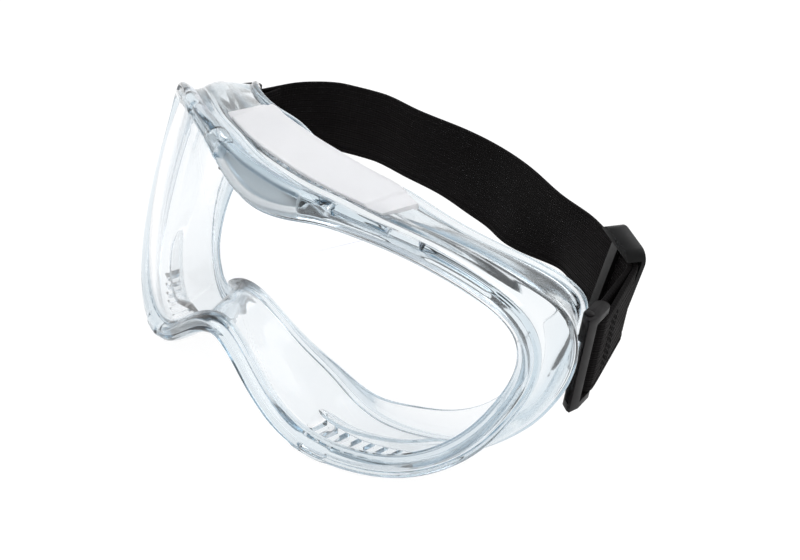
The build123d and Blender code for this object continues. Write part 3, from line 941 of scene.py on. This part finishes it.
def side_path(side):
    """Half of the webbing from behind the slider round the clip's bar, and its turned-back end."""
    band = filleted(slider_spot - straight_dir * SEAM_BACK, corner, band_end, CORNER_R[side])
    if side > 0:
        tail_start = inner_corner
        slider_end = slider_spot - straight_dir - straight_out * PLY_STEP_SLIDER
    else:
        tail_start = band_end - side_dir * SHORT_TAIL - side_out * PLY_STEP_SLIDER
    tail_run = run_to_bar(tail_start, -1)
    spoke = np.array([tail_run[1], -tail_run[0]])
    tail_end = bar_axis + spoke * PLY_STEP
    sweep = math.acos(side_out @ spoke)
    turns = np.linspace(0, sweep, FOLD_STEPS)[1:-1]
    fold = np.array([bar_axis + PLY_STEP * turn_plan(side_out, -a) for a in turns])
    if side > 0:
        tail = filleted(tail_end, inner_corner, slider_end, CORNER_R[side] - PLY_STEP_SLIDER)
    else:
        tail = np.linspace(tail_end, tail_start, 30)
    return np.vstack([band, fold, tail])


def back_path():
    """The webbing round the back of the head, from slider to slider."""
    half = clamped(STRAP_BACK, (1, 0), straight_dir, 90)
    lead = np.linspace(STRAP_BACK[-1], slider_spot - straight_dir * SEAM_BACK, 14)[1:]
    half = np.vstack([half, lead])
    return np.vstack([half[:0:-1] * (-1, 1), half])


RIBS = 23
RIB_HEIGHT = 0.05
# heights off the middle where the hem starts, where its groove lies and where the edge turns
HEM_START, HEM_GROOVE, EDGE_START = 10.6, 9.9, 11.85
TWIST_POWER = 1.4


def ribbon_profile():
    """Half thickness and height round the webbing's section, with its warp ribs and selvedges."""
    across = np.linspace(-1, 1, RIBS * 6 + 1)
    height = across * STRAP_WIDTH / 2
    off = np.abs(height)
    turn = np.clip((off - EDGE_START) / (STRAP_WIDTH / 2 - EDGE_START), 0, 1)
    edge = np.sqrt(1 - turn**2)
    rib = RIB_HEIGHT * np.cos(2 * math.pi * RIBS * across / 2)
    hem = 0.09 * (off > HEM_START) - 0.14 * np.exp(-(((off - HEM_GROOVE) / 0.35) ** 2))
    half = (STRAP_THICK / 2 - RIB_HEIGHT + rib + hem) * edge
    return half, height


def ribbon(name, path, level_at, twist=None):
    """Woven ribbon on a plan path, level_at high; twist moves its lower edge across the path."""
    normals = turned(path)
    half, height = ribbon_profile()
    thick = np.concatenate([half, -half[-2:0:-1]])
    level = np.concatenate([height, height[-2:0:-1]])
    run = chord(path)
    sway = np.zeros(len(path)) if twist is None else twist
    low = ((STRAP_WIDTH / 2 - level) / STRAP_WIDTH) ** TWIST_POWER
    shift = sway[:, None] * low[None, :]
    away = thick[None, :] + np.sign(normals[:, 1:]) * shift
    x = path[:, :1] + normals[:, :1] * away
    y = path[:, 1:] + normals[:, 1:] * away
    z = level_at[:, None] + level[None, :]
    uv = np.stack(np.broadcast_arrays(run[:, None], level[None, :]), axis=-1)
    points = np.stack([x, y, z], axis=-1)
    faces = grid_faces(*x.shape, False, True, True)
    return make_object(name, points.reshape(-1, 3), faces, uv.reshape(-1, 2), 60.0)


def build_strap():
    """One length of webbing: the back rides on the goggles, and each end is its own piece round its
    clip's bar.
    """
    path = back_path()
    knots, sways = zip(*STRAP_TWIST)
    spots = np.clip(path[:, 0], knots[0], knots[-1])
    sway = cubic(knots, sways, spots, ((0.0,), (0.0,)))[:, 0]
    level_at = np.where(path[:, 0] > 0, strap_level(path, 1), strap_level(path, -1))
    dress(ribbon("strap_back", path, level_at, sway), WEBBING, "webbing", "goggles", "strap_band")
    for sign, side in SIDE_NAMES:
        path = side_path(sign)
        piece = ribbon("strap_end_" + side, path, strap_level(path, sign))
        if sign < 0:
            mirror_mesh(piece)
        dress(piece, WEBBING, "webbing", None, "strap_tail_" + side)
        bend_with_clip(piece)


def bend_with_clip(piece):
    """Bakes the piece's placement into its mesh."""
    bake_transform(piece)


STITCH_STEPS = (4.5, 6.5, 8.5)
STITCHES = 9
STITCH_PITCH = 2.0
STITCH_HALF = 0.8


def build_stitching():
    """Rows of short threads that sew the turned-back tail to the band."""
    around = np.linspace(0, 2 * math.pi, 10, endpoint=False)
    for sign, side in SIDE_NAMES:
        points, faces = [], []
        for step in STITCH_STEPS:
            spot = band_end - side_dir * step
            level = strap_level(spot[None], sign)[0]
            for index in range(STITCHES):
                middle = level + (index - (STITCHES - 1) / 2) * STITCH_PITCH
                base = len(points)
                for t in np.linspace(-1, 1, 9):
                    swell = math.sqrt(max(1 - t**4, 0.02))
                    lift = STRAP_THICK / 2 - 0.02 + 0.16 * (1 - t * t)
                    for a in around:
                        out = side_out * (lift + 0.14 * swell * math.sin(a))
                        flat = spot + out + side_dir * 0.22 * swell * math.cos(a)
                        points.append((sign * flat[0], flat[1], middle + STITCH_HALF * t))
                thread = grid_faces(9, len(around), False, True, True)
                faces += [tuple(base + i for i in face) for face in thread]
        piece = make_object("stitching_" + side, points, faces)
        dress(piece, THREAD, "thread", None, "tail_stitching_" + side)
        bend_with_clip(piece)


# ------------ clips, pins and slider
CLIP_LOW, CLIP_HIGH = -5.8, 20.4
CLIP_ARM = 2.2
PLATE = (79.6, 80.6, 61.8, 65.6)
BARREL_R = 1.7
BAR_BOSS_R = 2.2
LUG_PLAY = 0.25
BARREL_WEB = (78.5, 79.9, PIN_AXIS[1] - 1.8, PIN_AXIS[1] + 0.6)


def build_clips():
    """Two-armed clip: an arm above and below the webbing, a plate, a barrel and the strap's bar."""
    barrel, plate = disc(PIN_AXIS, BARREL_R), rectangle(*PLATE)
    arm = hull(np.vstack([barrel, disc(BAR_AXIS, BAR_BOSS_R), plate]))
    clip = prism("clip_left_moulding", arm, CLIP_LOW - CLIP_ARM, CLIP_LOW)
    joined_shape(clip, prism("arm", arm, CLIP_HIGH, CLIP_HIGH + CLIP_ARM), "UNION")
    joined_shape(clip, prism("plate", plate, CLIP_LOW - 1, CLIP_HIGH + 1), "UNION")
    joined_shape(clip, prism("bar", disc(BAR_AXIS, BAR_R), CLIP_LOW - 1, CLIP_HIGH + 1), "UNION")
    web = hull(np.vstack([barrel, rectangle(*BARREL_WEB)]))
    for low, high in ((CLIP_LOW - 1, LUG_LOW - LUG_PLAY), (LUG_HIGH + LUG_PLAY, CLIP_HIGH + 1)):
        joined_shape(clip, prism("barrel", web, low, high), "UNION")
    hole = prism("hole", disc(PIN_AXIS, PIN_R, 32), CLIP_LOW - 5, CLIP_HIGH + 5)
    joined_shape(clip, hole, "DIFFERENCE")
    soften(clip, 0.3)
    other = mirrored(clip, "clip_right_moulding")
    for piece, side in ((clip, "left"), (other, "right")):
        dress(piece, CLIP_BLACK, "black_plastic", f"clip_{side}_body", "clip_" + side)


PIN_FIT = 0.03
PIN_HEAD_R = 1.38
PIN_TURN = 32


def build_pins():
    """Clip pin with a domed head."""
    low, high = CLIP_LOW - CLIP_ARM, CLIP_HIGH + CLIP_ARM
    shank = PIN_R - PIN_FIT
    profile = [(0.02, low), (shank - 0.25, low), (shank, low + 0.3), (shank, high)]
    profile.append((PIN_HEAD_R, high + 0.02))
    for a in np.linspace(0.0, 1.5, 7):
        profile.append((PIN_HEAD_R * math.cos(a), high + 0.2 + 0.4 * math.sin(a)))
    points = [(x, y, z) for r, z in profile for x, y in disc(PIN_AXIS, r, PIN_TURN)]
    pin = make_object("pin_left", points, grid_faces(len(profile), PIN_TURN, False, True, True))
    other = mirrored(pin, "pin_right")
    for piece, side in ((pin, "left"), (other, "right")):
        dress(piece, CLIP_BLACK, "black_plastic", f"clip_{side}_body", "clip_pin_" + side)


# width, height and corner radius of the slider, half the height and the width of its opening,
# the width of its inner bar, and how far the near and far faces of its bars stand off its middle
SLIDER_OUTER = (16.5, 33.2, 4.0)
SLIDER_WINDOW = 14.3
SLIDER_INNER = 11.7
SLIDER_MID_BAR = 3.2
BAR_FACE = (1.7, 3.1)
BAR_ROOT = 0.6


def round_rectangle(width, height, radius, count=8):
    """Outline of a rectangle with round corners."""
    outline = []
    for quarter, (sx, sy) in enumerate(((1, 1), (-1, 1), (-1, -1), (1, -1))):
        cx, cy = sx * (width / 2 - radius), sy * (height / 2 - radius)
        for a in np.linspace(0, math.pi / 2, count) + quarter * math.pi / 2:
            outline.append((cx + radius * math.cos(a), cy + radius * math.sin(a)))
    return np.array(outline)


def build_slider():
    """Flat two-window buckle: rails above and below the webbing, two outer bars, one inner bar."""
    width, height, radius = SLIDER_OUTER
    near, far = BAR_FACE
    shell = prism("slider_moulding", round_rectangle(width, height, radius), -far, far)
    opening = rectangle(-SLIDER_INNER / 2, SLIDER_INNER / 2, -SLIDER_WINDOW, SLIDER_WINDOW)
    joined_shape(shell, prism("window", opening, -9, 9), "DIFFERENCE")
    wide = rectangle(-width, width, -SLIDER_WINDOW, SLIDER_WINDOW)
    joined_shape(shell, prism("inside", wide, -near, 9), "DIFFERENCE")
    reach = SLIDER_WINDOW + BAR_ROOT
    middle = rectangle(-SLIDER_MID_BAR / 2, SLIDER_MID_BAR / 2, -reach, reach)
    joined_shape(shell, prism("bar", middle, near, far - 0.001), "UNION")
    soften(shell, 0.5)
    tilt = math.radians(SLIDER_TILT)
    run = Vector((*(straight_dir * math.cos(tilt)), -math.sin(tilt)))
    away = Vector((*-straight_out, 0.0))
    rise = away.cross(run)
    centre = Vector((*(slider_spot - straight_out * PLY_STEP_SLIDER / 2), SLIDER_LEVEL))
    turn = Matrix((run, rise, away)).transposed().to_4x4()
    home = Matrix.Translation(place((0, 0, 0)))
    shell.data.transform(home.inverted())
    shell.data.transform(Matrix.Translation(centre * 0.001) @ turn)
    shell.data.transform(home)
    finish_mesh(shell, 50.0)
    dress(shell, SLIDER_BLACK, "black_gloss", "slider_body", "slider")


build_lens()
build_frame()
build_lug()
build_cover()
build_baffles()
build_strap()
build_stitching()
build_clips()
build_pins()
build_slider()


# ------------ floor, light and camera
def build_floor():
    """Plain white floor that stays white under the goggles."""
    mesh = bpy.data.meshes.new("floor")
    work = bmesh.new()
    bmesh.ops.create_grid(work, x_segments=8, y_segments=8, size=4.0)
    work.to_mesh(mesh)
    work.free()
    floor = bpy.data.objects.new("floor", mesh)
    floor.location.z = -0.0006
    bpy.context.scene.collection.objects.link(floor)
    material, tree, shader = new_material("floor_white")
    tinted(tree, shader, object_noise(tree, 2.0), (0.13, 0.13, 0.13), (0.15, 0.15, 0.15))
    shader.inputs["Roughness"].default_value = 1.0
    shader.inputs["Specular IOR Level"].default_value = 0.0
    shader.inputs["Emission Color"].default_value = (1.0, 1.0, 1.0, 1.0)
    shader.inputs["Emission Strength"].default_value = 0.93
    mesh.materials.append(material)


def build_world():
    """Soft room light: white at the horizon, grey overhead."""
    world = bpy.data.worlds.new("studio")
    bpy.context.scene.world = world
    world.use_nodes = True
    tree = world.node_tree
    background = tree.nodes["Background"]
    direction = add_node(tree, "ShaderNodeTexCoord").outputs["Generated"]
    split = add_node(tree, "ShaderNodeSeparateXYZ")
    tree.links.new(direction, split.inputs["Vector"])
    ramp = add_node(tree, "ShaderNodeValToRGB")
    ramp.color_ramp.elements[0].position = 0.1
    ramp.color_ramp.elements[0].color = (1.0, 1.0, 1.0, 1.0)
    ramp.color_ramp.elements[1].position = 0.6
    ramp.color_ramp.elements[1].color = (0.78, 0.79, 0.81, 1.0)
    tree.links.new(split.outputs["Z"], ramp.inputs["Fac"])
    tree.links.new(ramp.outputs["Color"], background.inputs["Color"])
    background.inputs["Strength"].default_value = 1.0


SOFTBOX_AIM = (0.0, 0.0, 0.03)
# place, size and power of each softbox
SOFTBOXES = {
    "softbox_left": ((-0.7, -0.5, 0.9), (0.7, 0.7), 4.5),
    "softbox_right": ((0.8, -0.3, 0.7), (0.5, 0.8), 2.0),
    "softbox_back": ((0.1, 0.9, 0.6), (0.9, 0.4), 2.5),
}


def build_softbox(name, spot, size, power):
    """Area light aimed at the goggles."""
    light = bpy.data.lights.new(name, "AREA")
    light.shape = "RECTANGLE"
    light.size, light.size_y = size
    light.energy = power
    obj = bpy.data.objects.new(name, light)
    obj.location = spot
    obj.rotation_mode = "QUATERNION"
    obj.rotation_quaternion = (Vector(SOFTBOX_AIM) - Vector(spot)).to_track_quat("-Z", "Y")
    bpy.context.scene.collection.objects.link(obj)


CAMERA_AZIMUTH = 42.507
CAMERA_ELEVATION = 31.195
CAMERA_ROLL = 9.101
CAMERA_SHIFT = (50.922, 9.771)
CAMERA_DISTANCE = 466.839
CAMERA_LENS = 74.635


def build_camera():
    """Camera at the photograph's angle."""
    azimuth, elevation, roll = map(math.radians, (CAMERA_AZIMUTH, CAMERA_ELEVATION, CAMERA_ROLL))
    right = Vector((math.cos(azimuth), math.sin(azimuth), 0))
    level = Vector((math.sin(azimuth), -math.cos(azimuth), 0))
    back = level * math.cos(elevation) + Vector((0, 0, math.sin(elevation)))
    up = back.cross(right)
    across = right * math.cos(roll) + up * math.sin(roll)
    upward = up * math.cos(roll) - right * math.sin(roll)
    spot = across * CAMERA_SHIFT[0] + upward * CAMERA_SHIFT[1] + back * CAMERA_DISTANCE
    camera = bpy.data.objects.new("camera", bpy.data.cameras.new("camera"))
    camera.data.lens = CAMERA_LENS
    camera.data.sensor_width = 36.0
    camera.data.clip_start, camera.data.clip_end = 0.01, 50.0
    camera.matrix_world = Matrix((across, upward, back)).transposed().to_4x4()
    camera.location = place(spot)
    bpy.context.scene.collection.objects.link(camera)
    bpy.context.scene.camera = camera


build_floor()
build_world()
for name, (spot, size, power) in SOFTBOXES.items():
    build_softbox(name, spot, size, power)
build_camera()

scene = bpy.context.scene
scene.view_settings.view_transform = "Standard"
scene.cycles.max_bounces = 28
scene.cycles.transmission_bounces = 28
scene.cycles.glossy_bounces = 8
scene.cycles.transparent_max_bounces = 16
